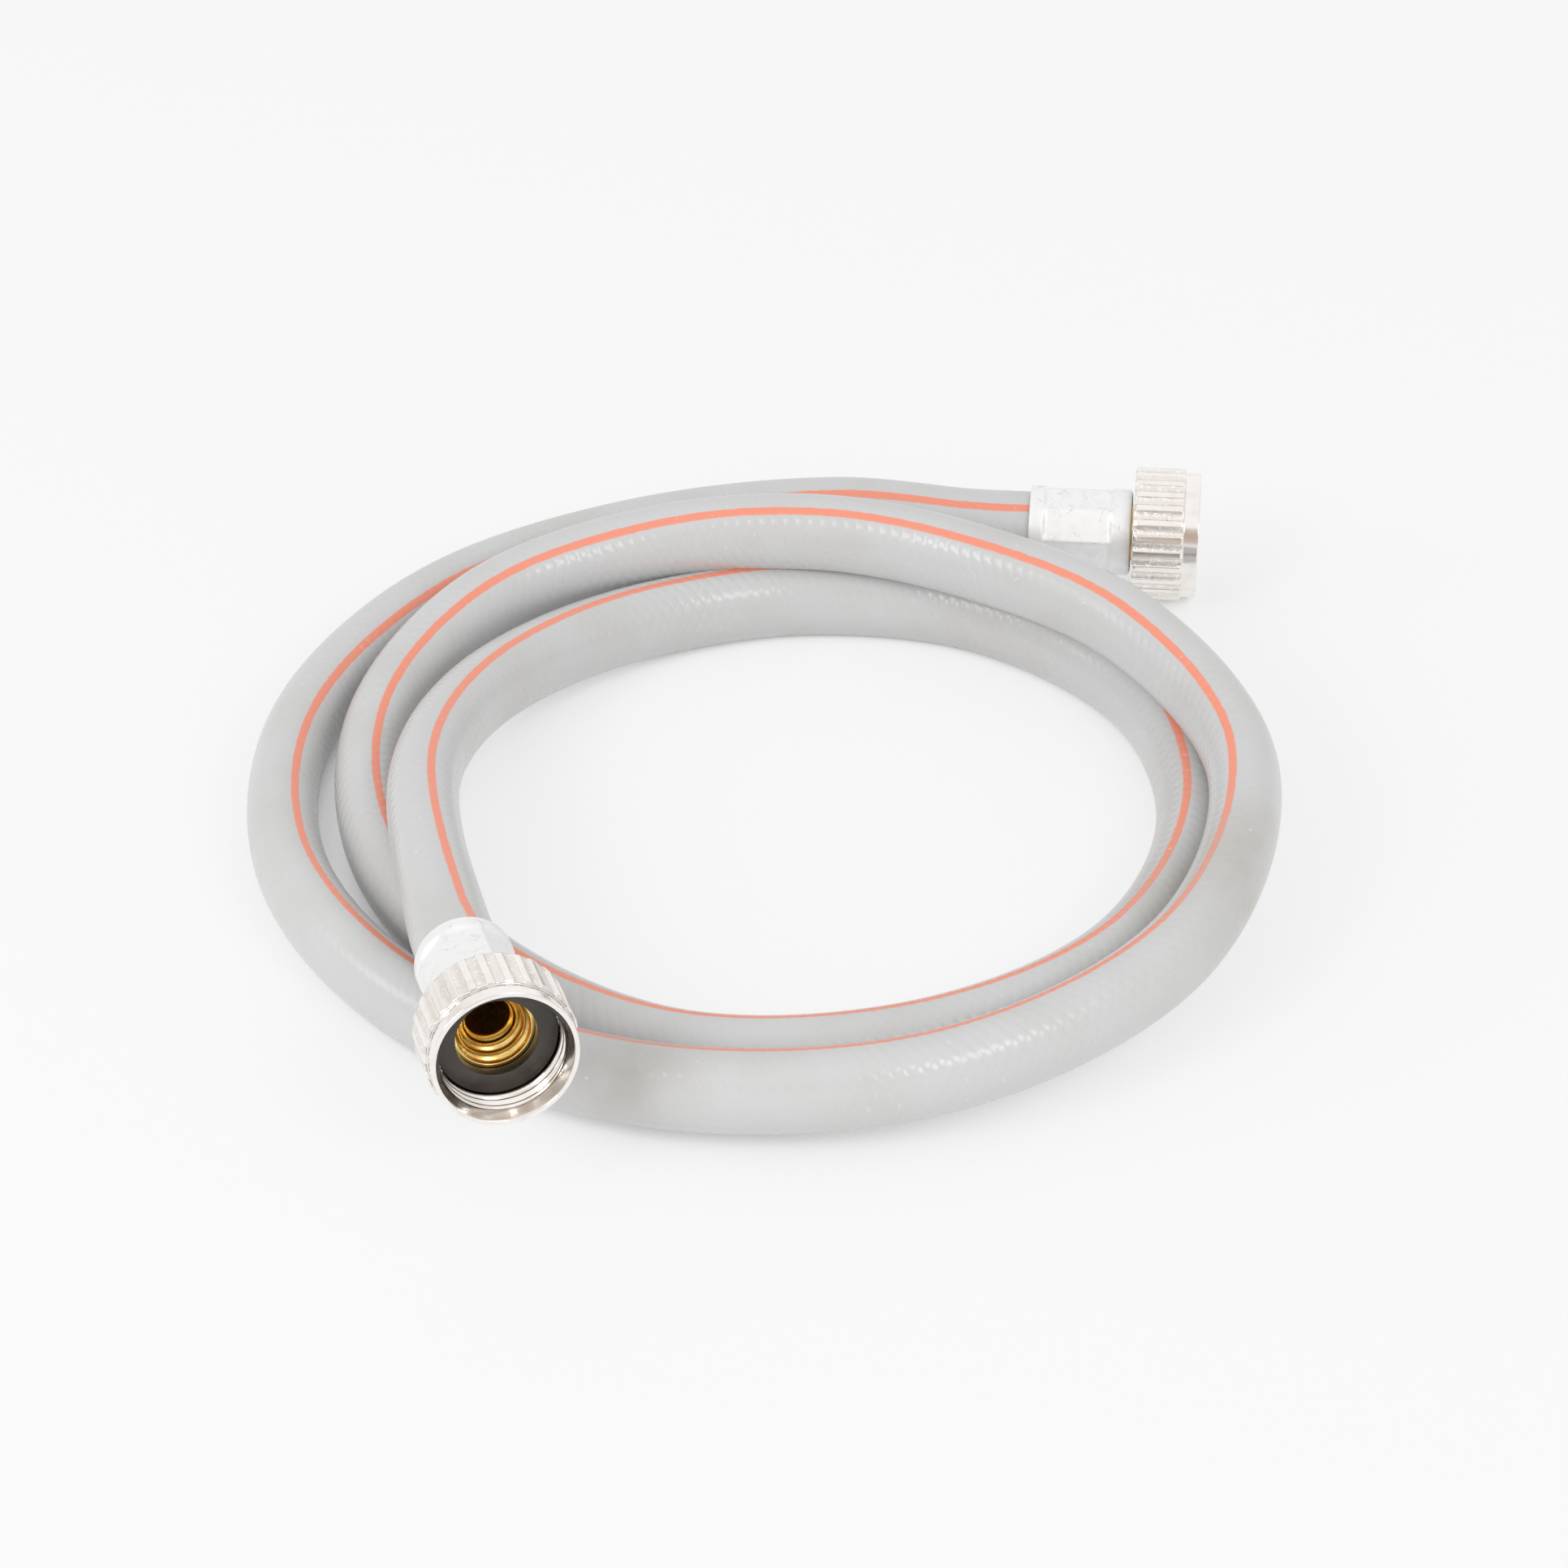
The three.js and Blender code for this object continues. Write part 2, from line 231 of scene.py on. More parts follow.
def hose_rings():
    """The outer and the inner rings of points. Each ring starts at the stripe."""
    travel = np.gradient(hose_line, axis=0)
    travel /= np.linalg.norm(travel, axis=1)[:, None]
    outward = np.cross(travel, (0, 0, 1))
    outward /= np.linalg.norm(outward, axis=1)[:, None]
    upward = np.cross(outward, travel)
    distances, leans = zip(*STRIPE_LEAN)
    lean = np.pad(np.interp(along_hose, distances, leans), LEAN_BLEND, mode="edge")
    lean = np.convolve(lean, np.ones(2 * LEAN_BLEND + 1) / (2 * LEAN_BLEND + 1), mode="valid")
    turns = np.arange(HOSE_COLUMNS) / HOSE_COLUMNS
    angle = np.radians(90 + lean)[:, None] + 2 * np.pi * turns
    from_end = np.minimum(along_hose, hose_length - along_hose)
    oval = np.clip((from_end - ROUND_UNTIL) / (OVAL_FROM - ROUND_UNTIL), 0, 1)
    oval = oval**2 * (3 - 2 * oval)
    width, height = (HOSE_ROUND + (side - HOSE_ROUND) * oval for side in (HOSE_WIDTH, HOSE_HEIGHT))
    sideways = np.cos(angle)[:, :, None] * outward[:, None]
    lifted = np.sin(angle)[:, :, None] * upward[:, None]
    middle = hose_line[:, None]
    outer = middle + sideways * width[:, None, None] / 2 + lifted * height[:, None, None] / 2
    outer[:, :, 2] = np.maximum(outer[:, :, 2], TABLE_GAP)
    inner = middle + (sideways + lifted) * HOSE_BORE / 2
    return outer, inner


outer_rings, inner_rings = hose_rings()
hose_across = np.concatenate([along_hose, along_hose[::-1], [0]])
hose_around = np.linspace(0, 1, HOSE_COLUMNS + 1)
hose = skin_grid(
    "hose_tube", np.concatenate([outer_rings, inner_rings[::-1]]), hose_across, hose_around
)
lowest = outer_rings[:, :, 2].min()
print("the hose's lowest point is", round(lowest * 1000, 2), "mm above the table")

# %% [markdown]
# ## Shader sums written as Python
#
# A procedural finish is arithmetic on patterns, and a web of Math nodes is hard to read. A
# small class wraps one output socket and gives it Python's operators, so that 1 - mask makes
# the node that it says. All other nodes come from one method that takes the node's type, its
# settings and its inputs. Colours are mixed with the Mix node, because a Math node would turn
# them grey.

# %% Signals and finishes
class Signal:
    """One output socket of a finish, which works in sums."""

    def __init__(self, finish, socket):
        self.finish = finish
        self.socket = socket

    def __add__(self, other):
        return self.finish.maths("ADD", self, other)

    def __sub__(self, other):
        return self.finish.maths("SUBTRACT", self, other)

    def __rsub__(self, other):
        return self.finish.maths("SUBTRACT", other, self)

    def __mul__(self, other):
        return self.finish.maths("MULTIPLY", self, other)

    def __truediv__(self, other):
        return self.finish.maths("DIVIDE", self, other)

    __radd__ = __add__
    __rmul__ = __mul__


class Finish:
    """The nodes of one material or world, with short ways to add to them."""

    def __init__(self, owner):
        owner.use_nodes = True
        self.owner = owner
        self.tree = owner.node_tree
        self.tree.nodes.clear()

    def node(self, kind, settings=None, inputs=None, output=0):
        """One node. Settings are set first, then each input gets a value or a link."""
        made = self.tree.nodes.new(kind)
        for name, value in (settings or {}).items():
            setattr(made, name, value)
        for name, value in (inputs or {}).items():
            if isinstance(value, Signal):
                self.tree.links.new(value.socket, made.inputs[name])
            else:
                made.inputs[name].default_value = value
        return Signal(self, made.outputs[output]) if made.outputs else made

    def maths(self, operation, first, second=0.0):
        """One Math node on signals or numbers."""
        return self.node("ShaderNodeMath", {"operation": operation}, {0: first, 1: second})

    def rise(self, value, start, stop):
        """0 below start, 1 above stop, and a soft step between them."""
        inputs = {"Value": value, "From Min": start, "From Max": stop}
        return self.node("ShaderNodeMapRange", {"interpolation_type": "SMOOTHSTEP"}, inputs)

    def blend(self, share, first, second):
        """From the first colour to the second one as share goes from 0 to 1."""
        inputs = {0: share, 6: first, 7: second}
        return self.node("ShaderNodeMix", {"data_type": "RGBA"}, inputs, output=2)

    def grain(self, place, scale, detail=2.0):
        """Cloudy noise from 0 to 1. The scale is in patches per metre."""
        inputs = {"Vector": place, "Scale": scale, "Detail": detail}
        return self.node("ShaderNodeTexNoise", {}, inputs)

    def place(self):
        """Where a point is in its piece's own space, in metres."""
        return self.node("ShaderNodeTexCoord", output="Object")

    def bump(self, height, depth):
        """A normal that follows a height from 0 to 1, depth metres deep."""
        return self.node("ShaderNodeBump", {}, {"Height": height, "Distance": depth})

    def surface(self, inputs):
        """Ends the finish with one Principled shader and returns the material."""
        shader = self.node("ShaderNodeBsdfPrincipled", {}, inputs)
        self.node("ShaderNodeOutputMaterial", {}, {"Surface": shader})
        return self.owner


def new_finish(name):
    return Finish(bpy.data.materials.new(name))


def paint(red, green, blue):
    """A colour as a screen shows it, from 0 to 255, as the linear light that shaders work in."""
    light = [value / 255 for value in (red, green, blue)]
    return (*[v / 12.92 if v <= 0.04045 else ((v + 0.055) / 1.055) ** 2.4 for v in light], 1.0)


# %% [markdown]
# ## The hose's skin
#
# The skin is light grey plastic with half a gloss. Under it lies a braid of yarn, laid on in
# two sets of spirals that cross. It can't be seen itself, but it presses the skin up by a tenth
# of a millimetre or so, and that breaks each highlight into a row of beads. Carving the braid
# into the mesh would take millions of faces, so it is a bump that is worked out from the UVs,
# which run along the hose in metres and round it in turns.
#
# The stripe is a mask on the distance from the seam, and its edge wanders a little, as a
# pressed-in colour does. Dust, rubbed crests of the braid and two brownish places where the
# hose was handled keep the skin from looking new.

# %% Hose skin finish
STRIPE_WIDTH = 0.0020
STRIPE_EDGE = 0.0002
STRIPE_WANDER = 0.0004
SKIN_ROUND = math.pi * (HOSE_WIDTH + HOSE_HEIGHT) / 2
YARNS = 10
YARN_LEAD = 0.029
BRAID_DEPTH = 0.00013
SKIN_GREY = paint(211, 211, 211)
STRIPE_ORANGE = paint(249, 155, 129)
STAIN_GREY = paint(200, 198, 193)
HANDLED_BROWN = paint(176, 172, 163)
DUST_WHITE = paint(240, 240, 240)
HANDLED = {
    (0.080, -0.042, 0.024): 0.034,
    (-0.042, -0.096, 0.020): 0.021,
}


def cosine_ridge(finish, turns):
    """1 at every whole turn and 0 halfway between."""
    return finish.maths("COSINE", turns * (2 * math.pi)) * 0.5 + 0.5


def braid_height(skin, along, around, place):
    """How far the yarns press the skin up, from 0 to 1."""
    climb = along / YARN_LEAD
    one_way = (climb + around) * YARNS
    other_way = (climb - around) * YARNS
    yarns = cosine_ridge(skin, one_way) * 0.5 + cosine_ridge(skin, other_way) * 0.3
    plies = cosine_ridge(skin, one_way * 2) * 0.12 + cosine_ridge(skin, other_way * 2) * 0.08
    strength = skin.rise(skin.grain(place, 28.0), 0.3, 0.65) * 0.6 + 0.4
    return (yarns + plies) * strength


def hose_skin():
    skin = new_finish("hose_skin")
    uv = skin.node("ShaderNodeUVMap", {"uv_map": "UVMap"})
    along = skin.node("ShaderNodeSeparateXYZ", {}, {"Vector": uv}, output="X")
    around = skin.node("ShaderNodeSeparateXYZ", {}, {"Vector": uv}, output="Y")
    place = skin.place()
    aside = skin.maths("MINIMUM", around, 1 - around) * SKIN_ROUND
    wander = (skin.grain(place, 450.0) - 0.5) * STRIPE_WANDER
    half_width = STRIPE_WIDTH / 2
    stripe = 1 - skin.rise(aside + wander, half_width - STRIPE_EDGE, half_width + STRIPE_EDGE)
    handled = 0
    for spot, reach in HANDLED.items():
        apart = {0: place, 1: spot}
        away = skin.node("ShaderNodeVectorMath", {"operation": "DISTANCE"}, apart, output="Value")
        handled = 1 - skin.rise(away, 0.0, reach) + handled
    handled = handled * skin.grain(place, 90.0, 3.0)
    stain = skin.rise(skin.grain(place, 45.0, 2.0), 0.4, 0.8)
    dust = skin.rise(skin.grain(place, 900.0), 0.74, 0.78)
    height = braid_height(skin, along, around, place)
    rubbed = skin.rise(height * skin.grain(place, 300.0, 3.0), 0.5, 0.62)
    colour = skin.blend(stain * 0.5, SKIN_GREY, STAIN_GREY)
    colour = skin.blend(stripe, colour, STRIPE_ORANGE)
    colour = skin.blend(handled * 0.8, colour, HANDLED_BROWN)
    colour = skin.blend(dust * 0.6 + rubbed * 0.25, colour, DUST_WHITE)
    fine = skin.grain(place, 1600.0)
    return skin.surface({
        "Base Color": colour,
        "Roughness": skin.grain(place, 60.0, 2.0) * 0.08 + stain * 0.08 + 0.18,
        "Normal": skin.bump(height + fine * 0.06, BRAID_DEPTH),
    })


hose.data.materials.append(hose_skin())
print("the hose has", YARNS, "yarns each way and one stripe", STRIPE_WIDTH * 1000, "mm wide")

# %% [markdown]
# ## A section turned round an axis
#
# The metal pieces come off a lathe: each is a section turned round the coupling's axis. No real
# edge is perfectly sharp, and the thin line of light on a rounded edge is what makes metal
# look like metal, so every corner of a section has its own rounding. A function may then bend
# the turned surface, which cuts flutes, winds a thread or presses flats without booleans.

# %% Rounded section
CORNER_STEPS = 6


def rounded_section(corners):
    """A closed outline of (radius, distance back, rounding, parts) corners, as radii and backs.

    Parts is how many rows the stretch after that corner is divided into."""
    table = np.array(corners, float)
    here = table[:, :2]
    towards = np.roll(here, -1, axis=0) - here
    away = towards / np.linalg.norm(towards, axis=1)[:, None]
    starts = here - np.roll(away, 1, axis=0) * table[:, 2:3]
    stops = here + away * table[:, 2:3]
    points = []
    for i, corner in enumerate(here):
        for t in np.linspace(0, 1, CORNER_STEPS):
            points.append((1 - t) ** 2 * starts[i] + 2 * t * (1 - t) * corner + t**2 * stops[i])
        stretch = starts[(i + 1) % len(starts)] - stops[i]
        parts = int(table[i, 3])
        points += [stops[i] + stretch * part / parts for part in range(1, parts)]
    return np.array(points)


# %% Turned piece
def turned_piece(name, end, corners, angles, bend=None):
    """A section turned round a coupling's axis. bend(radius, back, angle) gives new radii."""
    section = rounded_section(corners)
    radius, angle = np.meshgrid(section[:, 0], angles, indexing="ij")
    back = np.repeat(section[:, 1:], len(angles), axis=1)
    if bend:
        radius = bend(radius, back, angle)
    grid = np.stack([radius * np.cos(angle), radius * np.sin(angle), -back], axis=-1)
    across = np.append(section[:, 1], section[0, 1])
    around = np.append(angles, angles[0] + 2 * np.pi) / (2 * np.pi)
    piece = skin_grid(name, grid, across, around)
    piece.matrix_world = places[end]
    piece.modifiers.new("even_faces", "WEIGHTED_NORMAL")
    return piece


def even_angles(count):
    """Angles all the way round, for a piece without flutes."""
    return np.arange(count) / count * 2 * np.pi


# %% [markdown]
# ## The union nuts
#
# Each nut is a nickel-plated ring with a knurl of 26 shallow flutes for the fingers, a plain lip
# in front of it, and a hose thread inside. The flutes are a smallest-of-two rule: wherever the
# turned blank would stand outside a flute's hollow, the radius is pulled in to it. Because the
# rule also meets the rounded shoulders of the knurl, the scalloped edges of the real nut
# come out by themselves. The thread is the same idea inside, with a groove that moves
# along by one pitch in each turn. It starts behind a plain, tapered lead-in at the mouth.

# %% Nut shape
KNURL_RADIUS = 0.0156
LIP_RADIUS = 0.0148
LIP_LENGTH = 0.0036
FLUTES = 26
FLUTE_DEPTH = 0.00045
FLUTE_WIDTH = 0.0024
THREAD_MINOR = 0.0126
THREAD_MAJOR = 0.01355
THREAD_PITCH = 0.002209
THREAD_END_BACK = 0.0083
THREAD_ROWS = 70
GROOVE_HALF = 0.42
GROOVE_FLAT = 0.94
LEAD_IN = 0.0026
MOUTH_RADIUS = 0.01385
NUT_FLOOR_BACK = 0.0133
NECK_HOLE = 0.0093

NUT_SECTION = [
    (MOUTH_RADIUS, 0.0, 0.0001, 1),
    (LIP_RADIUS, 0.0, 0.0003, 1),
    (LIP_RADIUS, LIP_LENGTH, 0.0002, 1),
    (KNURL_RADIUS, LIP_LENGTH, 0.0006, 6),
    (KNURL_RADIUS, NUT_LENGTH, 0.0011, 8),
    (NECK_HOLE, NUT_LENGTH, 0.0003, 1),
    (NECK_HOLE, NUT_FLOOR_BACK, 0.0001, 1),
    (THREAD_MINOR, NUT_FLOOR_BACK, 0.0002, THREAD_ROWS),
    (THREAD_MINOR, LEAD_IN, 0.0003, 6),
]
flute_turn = 2 * math.pi / FLUTES
flute_half = FLUTE_WIDTH / 2 / KNURL_RADIUS
flute_places = flute_half * np.array([-1, -0.8, -0.45, 0, 0.45, 0.8, 1])
rib_places = flute_half + (flute_turn - 2 * flute_half) * np.array([0.14, 0.5, 0.86])
one_flute = np.concatenate([flute_places, rib_places])
nut_angles = (np.arange(FLUTES)[:, None] * flute_turn + one_flute).ravel()


def flute_hollow(angle):
    """The radius of the fluted outline at an angle, without a limit on the ribs."""
    from_middle = (angle + flute_turn / 2) % flute_turn - flute_turn / 2
    return KNURL_RADIUS - FLUTE_DEPTH * (1 - (from_middle / flute_half) ** 2)


def thread_reach(back, angle):
    """The radius of the thread at a place. It starts behind the lead-in and ends at the washer."""
    turn = (back / THREAD_PITCH + angle / (2 * np.pi)) % 1
    from_groove = np.minimum(turn, 1 - turn)
    depth = np.clip(1 - from_groove / GROOVE_HALF, 0, GROOVE_FLAT)
    run_in = np.clip((back - LEAD_IN) / (THREAD_PITCH / 4), 0, 1)
    run_out = np.clip((THREAD_END_BACK - back) / (THREAD_PITCH / 2), 0, 1)
    return THREAD_MINOR + (THREAD_MAJOR - THREAD_MINOR) * depth * run_in * run_out


def nut_bend(radius, back, angle):
    """Presses the flutes into the outside and winds the thread into the inside."""
    outside = radius > MOUTH_RADIUS + 0.0001
    inside = (radius > THREAD_MINOR - 0.0003) & (radius < MOUTH_RADIUS + 0.00005)
    fluted = np.minimum(radius, flute_hollow(angle))
    threaded = np.maximum(radius, thread_reach(back, angle))
    return np.where(outside, fluted, np.where(inside, threaded, radius))


nuts = {
    end: turned_piece(f"{end}_union_nut", end, NUT_SECTION, nut_angles, nut_bend) for end in ENDS
}

# %% [markdown]
# ## Nickel plating
#
# The nuts are plated bright, a little warmer than steel. The ribs and the lip were polished
# before plating and mirror their surroundings softly. The flutes were only rolled, so they keep
# a rough skin that sparkles. One value per point says how deep in a flute it is. The finish
# uses it to raise the roughness there and to add a fine bump. It also paints the flutes darker
# as painted shade, mixed with random worn patches, and paints the highest grains near white as
# a painted glint.

# %% Nickel finish
# the first colour below is a painted highlight, used for the painted glint in the flutes
NICKEL_PAINTED_GLINT = paint(255, 254, 252)
NICKEL_WARM = paint(249, 245, 241)
# the next colour is painted shade in the flutes, and also the tone of random worn patches
NICKEL_WORN_AND_FLUTE_SHADE = paint(222, 213, 203)
PIT_DEPTH = 0.00022


def mark_flutes(nut):
    """Writes how deep in a flute each point is, from 0 to 1, as an attribute."""
    points = np.zeros(len(nut.data.vertices) * 3, np.float32)
    nut.data.vertices.foreach_get("co", points)
    x, y, z = points.reshape(-1, 3).T
    radius = np.hypot(x, y)
    depth = (KNURL_RADIUS - flute_hollow(np.arctan2(y, x))) / FLUTE_DEPTH
    knurled = (radius > LIP_RADIUS + 0.0001) & (z < -LIP_LENGTH)
    layer = nut.data.attributes.new("flute_depth", "FLOAT", "POINT")
    layer.data.foreach_set("value", (np.clip(depth, 0, 1) * knurled).astype(np.float32))


def nickel_plating():
    nickel = new_finish("nickel_plating")
    place = nickel.place()
    depth = nickel.node("ShaderNodeAttribute", {"attribute_name": "flute_depth"}, output="Fac")
    rolled = nickel.rise(depth, 0.05, 0.4)
    pits = nickel.grain(place, 1200.0, 3.0)
    # painted highlight: the highest grains in the flutes are painted near white as a glint
    painted_glints = nickel.rise(pits, 0.56, 0.66) * rolled
    cloud = nickel.grain(place, 260.0, 3.0)
    worn = nickel.rise(cloud, 0.45, 0.75)
    # painted shade: the flutes are painted darker by their depth, mixed with random worn patches
    worn_and_flute_shade = nickel.blend(worn * 0.3 + rolled * 0.3, NICKEL_WARM, NICKEL_WORN_AND_FLUTE_SHADE)
    return nickel.surface({
        "Base Color": nickel.blend(painted_glints, worn_and_flute_shade, NICKEL_PAINTED_GLINT),
        "Metallic": 1.0,
        "Roughness": cloud * 0.06 + rolled * 0.2 + 0.07,
        "Normal": nickel.bump(pits * (rolled * 0.98 + 0.02) + cloud * 0.04, PIT_DEPTH),
    })


nickel = nickel_plating()
for nut in nuts.values():
    mark_flutes(nut)
    nut.data.materials.append(nickel)

# %% [markdown]
# ## The crimped sleeves
#
# A sleeve of soft aluminium holds the hose on its tail piece. A press with eight jaws closed
# on its middle and left eight flats, with a round shoulder in front of them and a round rim
# behind. The same smallest-of-two rule presses the flats in, and its strength fades out
# within a millimetre at each end, where the jaws stopped.

# %% Sleeve shape
SLEEVE_RADIUS = 0.0102
SLEEVE_BORE = 0.009
SLEEVE_FRONT_BACK = 0.0159
SLEEVE_WALL_BACK = 0.0171
STEM_HOLE = 0.0069
CRIMP_START = 0.0204
CRIMP_END = 0.0369
JAWS = 8
FLAT_REACH = 0.0094
CRIMP_FADE = 0.0008
SLEEVE_COLUMNS = 16 * JAWS
SLEEVE_ROWS = 60

SLEEVE_SECTION = [
    (STEM_HOLE, SLEEVE_FRONT_BACK, 0.0002, 1),
    (SLEEVE_RADIUS, SLEEVE_FRONT_BACK, 0.0013, SLEEVE_ROWS),
    (SLEEVE_RADIUS, SLEEVE_END_BACK, 0.0004, 1),
    (SLEEVE_BORE, SLEEVE_END_BACK, 0.0003, 1),
    (SLEEVE_BORE, SLEEVE_WALL_BACK, 0.0002, 1),
    (STEM_HOLE, SLEEVE_WALL_BACK, 0.0001, 1),
]


def sleeve_bend(radius, back, angle):
    """Presses the flats into the middle of the sleeve."""
    jaw_turn = 2 * np.pi / JAWS
    from_flat = (angle + jaw_turn / 2) % jaw_turn - jaw_turn / 2
    flat = FLAT_REACH / np.cos(from_flat)
    start = np.clip((back - CRIMP_START) / CRIMP_FADE, 0, 1)
    stop = np.clip((CRIMP_END - back) / CRIMP_FADE, 0, 1)
    pressed = np.minimum(radius, flat)
    return radius + (pressed - radius) * start * stop


sleeves = {
    end: turned_piece(
        f"{end}_crimped_sleeve", end, SLEEVE_SECTION, even_angles(SLEEVE_COLUMNS), sleeve_bend
    )
    for end in ENDS
}

# %% [markdown]
# ## Rubbed aluminium
#
# Bare aluminium grows a thin chalky skin, so it is pale and only partly a mirror. The sleeve's
# blank was drawn through a die, which leaves faint lines along it, and the jaws rubbed the
# flats. Noise that is stretched along the axis gives the lines, and a coarser one gives the
# rubs. The crimp also broke the skin in places: the edges of warped Voronoi cells, kept
# only where another noise is high, draw those hair-thin grey cracks.

# %% Aluminium finish
ALUMINIUM_PALE = paint(248, 248, 248)
ALUMINIUM_RUBBED = paint(240, 240, 240)
ALUMINIUM_CRACK = paint(190, 188, 185)
DRAWN_STRETCH = (1, 1, 0.06)
CRACK_CELLS_PER_METRE = 190.0
CRACK_WIDTH = 0.016
SCRATCH_DEPTH = 0.00003


def sleeve_aluminium():
    sleeve = new_finish("sleeve_aluminium")
    place = sleeve.place()
    drawn = sleeve.node("ShaderNodeMapping", {}, {"Vector": place, "Scale": DRAWN_STRETCH})
    lines = sleeve.grain(drawn, 3200.0, 3.0)
    rubs = sleeve.rise(sleeve.grain(place, 420.0, 4.0), 0.42, 0.7)
    bent = sleeve.grain(place, 500.0, 2.0) * 0.003
    wavy = sleeve.node("ShaderNodeVectorMath", {"operation": "ADD"}, {0: place, 1: bent})
    cells = {"Vector": wavy, "Scale": CRACK_CELLS_PER_METRE}
    edge = sleeve.node("ShaderNodeTexVoronoi", {"feature": "DISTANCE_TO_EDGE"}, cells)
    broken = sleeve.rise(sleeve.grain(place, 240.0), 0.5, 0.6)
    cracks = (1 - sleeve.rise(edge, 0.0, CRACK_WIDTH)) * broken
    pale = sleeve.blend(rubs * 0.5, ALUMINIUM_PALE, ALUMINIUM_RUBBED)
    return sleeve.surface({
        "Base Color": sleeve.blend(cracks * 0.8, pale, ALUMINIUM_CRACK),
        "Metallic": 0.65,
        "Roughness": rubs * 0.12 + lines * 0.1 + 0.46,
        "Normal": sleeve.bump(lines * 0.4 + rubs * 0.4 - cracks * 0.6, SCRATCH_DEPTH),
    })


aluminium = sleeve_aluminium()
for sleeve in sleeves.values():
    sleeve.data.materials.append(aluminium)

# %% [markdown]
# ## The brass tail pieces
#
# The tail piece is turned from brass bar. Its flange is held by the nut's floor, its
# neck runs through the nut, and its barbed tail sits in the hose. What can be seen is the
# throat behind the washer: three steps that narrow to the waterway, with rounded, shining
# edges. The barbs stay in the section although the hose hides them, because the piece
# is one thing from end to end.

# %% Tail piece shape
FLANGE_RADIUS = 0.0113
FLANGE_FRONT = 0.0114
FLANGE_BACK = 0.013
NECK_RADIUS = 0.009
NECK_BACK = 0.0151
STEM_RADIUS = 0.0066
TAIL_RADIUS = 0.0052
BARB_ROOT = 0.0047
BARBS = 3
TAIL_LENGTH = 0.02
TAIL_END_BACK = HOSE_END_BACK + TAIL_LENGTH
THROAT_RADII = [0.0075, 0.0063, 0.0051, 0.0042]
THROAT_STEP = 0.0019
THROAT_ROUNDING = 0.0009
ROUND_COLUMNS = 96

TAIL_SECTION = [
    (FLANGE_RADIUS, FLANGE_FRONT, 0.0003, 1),
    (FLANGE_RADIUS, FLANGE_BACK, 0.0002, 1),
    (NECK_RADIUS, FLANGE_BACK, 0.0001, 1),
    (NECK_RADIUS, NECK_BACK, 0.0002, 1),
    (STEM_RADIUS, NECK_BACK, 0.0001, 1),
    (STEM_RADIUS, SLEEVE_WALL_BACK, 0.0001, 1),
    (BARB_ROOT, SLEEVE_WALL_BACK, 0.00005, 1),
]
for barb in range(BARBS):
    barb_front = HOSE_END_BACK + TAIL_LENGTH * (barb + 0.2) / BARBS
    TAIL_SECTION += [(BARB_ROOT, barb_front, 0.00005, 1), (TAIL_RADIUS, barb_front, 0.0001, 1)]
TAIL_SECTION += [
    (BARB_ROOT, TAIL_END_BACK, 0.0001, 1),
    (THROAT_RADII[-1], TAIL_END_BACK, 0.0001, 1),
]
for step in range(len(THROAT_RADII) - 1, 0, -1):
    step_back = FLANGE_FRONT + step * THROAT_STEP
    edge_back = step_back - 0.4 * THROAT_STEP
    TAIL_SECTION += [
        (THROAT_RADII[step], step_back, THROAT_ROUNDING, 1),
        (THROAT_RADII[step - 1], edge_back, 0.0002, 1),
    ]
TAIL_SECTION.append((THROAT_RADII[0], FLANGE_FRONT, 0.0003, 1))

round_angles = even_angles(ROUND_COLUMNS)
tails = {end: turned_piece(f"{end}_tail_piece", end, TAIL_SECTION, round_angles) for end in ENDS}

# %% [markdown]
# ## Turned brass
#
# Fresh brass is deep yellow and reflects strongly, and the lathe leaves fine rings that run
# round the bore. A wave along the axis, broken up by noise, gives the rings as a shallow bump.
# Water has touched it in testing, so some places are duller and browner than others.

# %% Brass finish
BRASS_BRIGHT = paint(255, 224, 146)
BRASS_DULL = paint(226, 168, 82)
TOOL_RINGS_PER_METRE = 7000
RING_DEPTH = 0.00001


def turned_brass():
    brass = new_finish("turned_brass")
    place = brass.place()
    back = brass.node("ShaderNodeSeparateXYZ", {}, {"Vector": place}, output="Z")
    broken = brass.grain(place, 900.0, 3.0)
    rings = cosine_ridge(brass, back * TOOL_RINGS_PER_METRE + broken * 0.6)
    dull = brass.rise(brass.grain(place, 330.0, 4.0), 0.4, 0.72)
    return brass.surface({
        "Base Color": brass.blend(dull * 0.7, BRASS_BRIGHT, BRASS_DULL),
        "Metallic": 1.0,
        "Roughness": dull * 0.1 + 0.19,
        "Normal": brass.bump(rings * 0.2 + broken * 0.5, RING_DEPTH),
    })


brass = turned_brass()
for tail in tails.values():
    tail.data.materials.append(brass)

# %% [markdown]
# ## The washers
#
# A flat ring of black rubber lies in each nut and seals against the tap. It was stamped from
# sheet, so its edges are hardly rounded, and its face carries a soft print of the sheet's
# cloth-like skin. It has half a gloss. Noise that is turned and stretched paints pale streaks
# into its colour as painted sheen, and makes them rougher. Rubber is never pure black, as it
# always catches some grey light.

# %% Washer shape and finish
WASHER_FRONT = 0.0083
WASHER_BACK = 0.0111
WASHER_RADIUS = 0.0123
WASHER_BORE = 0.0083
RUBBER_BLACK = paint(60, 55, 50)
RUBBER_DUSTED = paint(84, 80, 75)
# a pale colour painted on in streaks as painted sheen
RUBBER_PAINTED_SHEEN = paint(122, 118, 112)
SHEEN_STREAK_TURN = (0, 0, math.radians(-35))
SHEEN_STREAK_STRETCH = (0.25, 1, 1)
WEAVE_DEPTH = 0.00001

WASHER_SECTION = [
    (WASHER_BORE, WASHER_FRONT, 0.0003, 4),
    (WASHER_RADIUS, WASHER_FRONT, 0.0003, 1),
    (WASHER_RADIUS, WASHER_BACK, 0.0002, 4),
    (WASHER_BORE, WASHER_BACK, 0.0002, 1),
]


